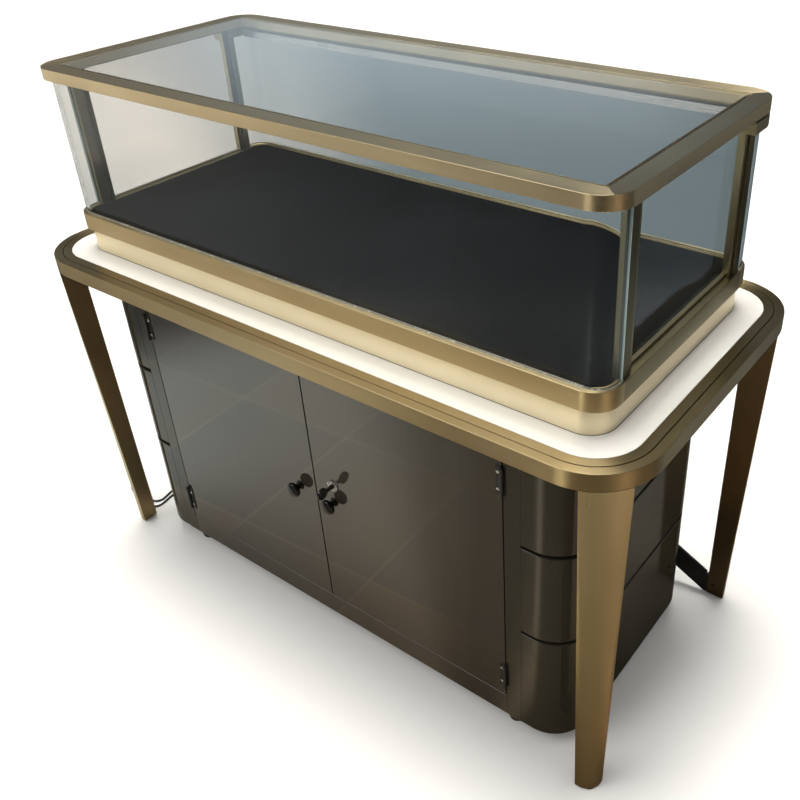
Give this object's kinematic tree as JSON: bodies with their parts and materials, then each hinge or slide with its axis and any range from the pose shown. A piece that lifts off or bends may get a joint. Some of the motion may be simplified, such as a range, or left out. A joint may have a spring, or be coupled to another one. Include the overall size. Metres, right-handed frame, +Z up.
{
  "type": "jewellery showcase",
  "caption": "Glazed counter display case with a lifting glass lid, on a gold-rimmed table with tapered legs over a rounded two-door cabinet.",
  "frame": {"origin": "on the floor, under the middle of the counter top", "axes": "+X along the length to the right as seen from the doors, -Y towards the doors, +Z up"},
  "size_m": [1.2627, 0.728, 0.9575],
  "materials": {
    "brass": "brushed champagne gold",
    "brass_leg": "brushed along the leg",
    "lid_metal": "brushed champagne gold",
    "board": "dark laminated board",
    "black_board": "black laminated board",
    "white_panel": "white high gloss laminate",
    "dark_wood": "high gloss dark brown lacquer",
    "black_plastic": "fine grain",
    "white_plastic": "smooth",
    "black_rubber": "satin",
    "cord_jacket": "satin",
    "black_steel": "satin black",
    "zinc": "zinc plated",
    "black_chrome": "polished black chrome",
    "lock_chrome": "polished",
    "led_metal": "satin anodised",
    "velvet": "black velvet",
    "glass": "clear"
  },
  "bodies": {
    "showcase": {"table_rim": "brass", "rim_trim": "brass", "counter_board": "board", "counter_panel": "white_panel", "legs_front": "brass_leg", "legs_rear": "brass_leg", "leg_glides": "black_plastic", "brace_low_right": "black_steel", "brace_low_left": "black_steel", "brace_fixings": "zinc", "cabinet_base": "board", "cabinet_top": "board", "cabinet_floor": "board", "carcass_sides": "board", "cabinet_back": "dark_wood", "cabinet_feet": "black_plastic", "front_stiles": "dark_wood", "front_rails": "dark_wood", "wing_cores": "black_board", "wing_panels_left": "dark_wood", "wing_panels_right": "dark_wood", "shelf": "board", "shelf_pins": "zinc", "magnetic_catches": "black_plastic", "hinge_leaves_fixed": "black_steel", "hinge_pins": "black_steel", "case_plinth": "brass", "deck_board": "black_board", "display_deck": "velvet", "band_front_rear": "brass", "band_ends": "brass", "front_glass": "glass", "back_glass": "glass", "end_panes": "glass", "corner_posts": "brass", "pane_beads": "brass", "lid_gasket": "black_rubber", "rear_rail": "brass", "led_profile": "led_metal", "led_driver": "white_plastic", "led_lead": "black_rubber", "lid_hinge_lower": "black_steel", "cord_gland": "black_plastic", "mains_cord": "cord_jacket", "cord_coil": "cord_jacket", "mains_plug": "black_plastic"},
    "door_left": {"door_left": "dark_wood", "knob_left": "black_chrome", "hinge_leaves_left": "black_steel", "strike_left": "zinc"},
    "door_right": {"door_right": "dark_wood", "knob_right": "black_chrome", "hinge_leaves_right": "black_steel", "strike_right": "zinc", "lock_barrel": "lock_chrome"},
    "lock": {"lock_plug": "lock_chrome", "lock_key": "black_steel"},
    "lid": {"lid_frame": "lid_metal", "lid_glass": "glass", "lid_hinge_upper": "black_steel"}
  },
  "joints": [
    {"name": "door_left_hinge", "type": "hinge", "parent": "showcase", "child": "door_left", "pos_m": [-0.386, -0.2306, 0.318], "axis": [0, 0, -1], "range_deg": [0, 150]},
    {"name": "door_right_hinge", "type": "hinge", "parent": "showcase", "child": "door_right", "pos_m": [0.386, -0.2306, 0.318], "axis": [0, 0, 1], "range_deg": [0, 150]},
    {"name": "lock_turn", "type": "hinge", "parent": "door_right", "child": "lock", "pos_m": [0.043, -0.227, 0.349], "axis": [0, -1, 0], "range_deg": [0, 90]},
    {"name": "lid_hinge", "type": "hinge", "parent": "showcase", "child": "lid", "pos_m": [0, 0.2314, 0.9365], "axis": [-1, 0, 0], "range_deg": [0, 80]}
  ]
}
